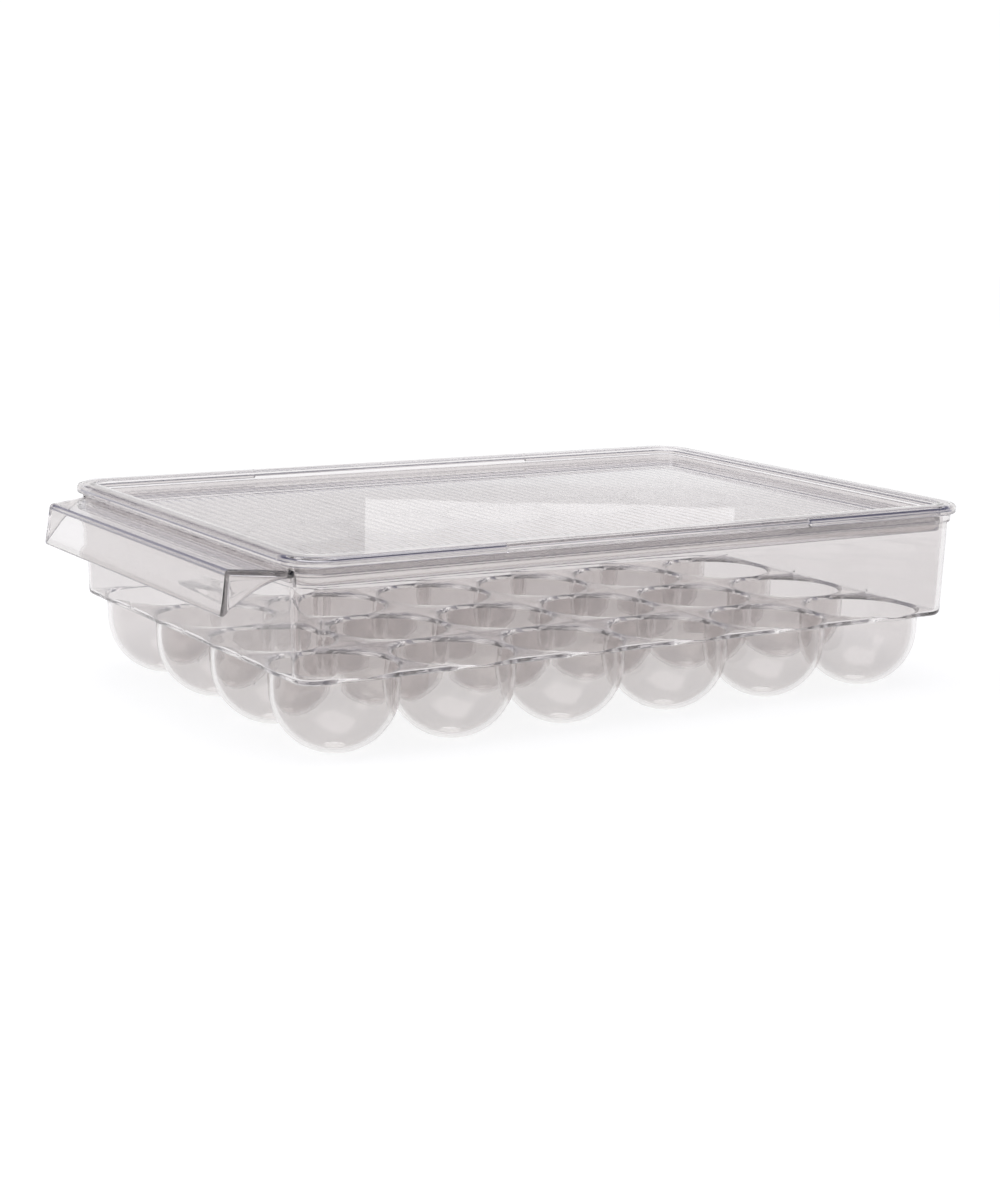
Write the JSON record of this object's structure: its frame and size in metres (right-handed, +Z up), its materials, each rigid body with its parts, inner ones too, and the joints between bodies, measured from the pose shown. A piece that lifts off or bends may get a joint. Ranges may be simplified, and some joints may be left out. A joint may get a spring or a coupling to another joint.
{
  "type": "egg holder tray",
  "caption": "Clear plastic egg holder tray: rows of round egg cups under a shallow box, with a pull handle on one end and a lift-off lid.",
  "frame": {"origin": "centre of the overall footprint, handle and lid included, on the surface that the cups stand on", "axes": "+X along the length, away from the handle; +Y across; +Z up"},
  "size_m": [0.3326, 0.212, 0.0786],
  "materials": {
    "tray": "clear, faintly smoky, polished moulding",
    "lid": "clear, faintly smoky, polished moulding with fine ribs across the panel"
  },
  "bodies": {
    "tray": {"egg_cup_a1": "tray", "egg_cup_a2": "tray", "egg_cup_a3": "tray", "egg_cup_a4": "tray", "egg_cup_a5": "tray", "egg_cup_a6": "tray", "egg_cup_b1": "tray", "egg_cup_b2": "tray", "egg_cup_b3": "tray", "egg_cup_b4": "tray", "egg_cup_b5": "tray", "egg_cup_b6": "tray", "egg_cup_c1": "tray", "egg_cup_c2": "tray", "egg_cup_c3": "tray", "egg_cup_c4": "tray", "egg_cup_c5": "tray", "egg_cup_c6": "tray", "egg_cup_d1": "tray", "egg_cup_d2": "tray", "egg_cup_d3": "tray", "egg_cup_d4": "tray", "egg_cup_d5": "tray", "egg_cup_d6": "tray", "tray_wall_front": "tray", "tray_wall_back": "tray", "tray_wall_handle_end": "tray", "tray_wall_far_end": "tray", "tray_corner_far_back": "tray", "tray_corner_handle_back": "tray", "tray_corner_handle_front": "tray", "tray_corner_far_front": "tray", "handle_shelf": "tray", "handle_apron": "tray", "handle_gusset_front": "tray", "handle_gusset_back": "tray"},
    "lid": {"lid_panel": "lid", "lid_rim_front": "lid", "lid_rim_back": "lid", "lid_rim_handle_end": "lid", "lid_rim_far_end": "lid", "lid_corner_far_back": "lid", "lid_corner_handle_back": "lid", "lid_corner_handle_front": "lid", "lid_corner_far_front": "lid"}
  },
  "joints": [
    {"name": "lid_lift", "type": "slide", "parent": "tray", "child": "lid", "axis": [0, 0, 1], "range_m": [0, 0.08]}
  ]
}
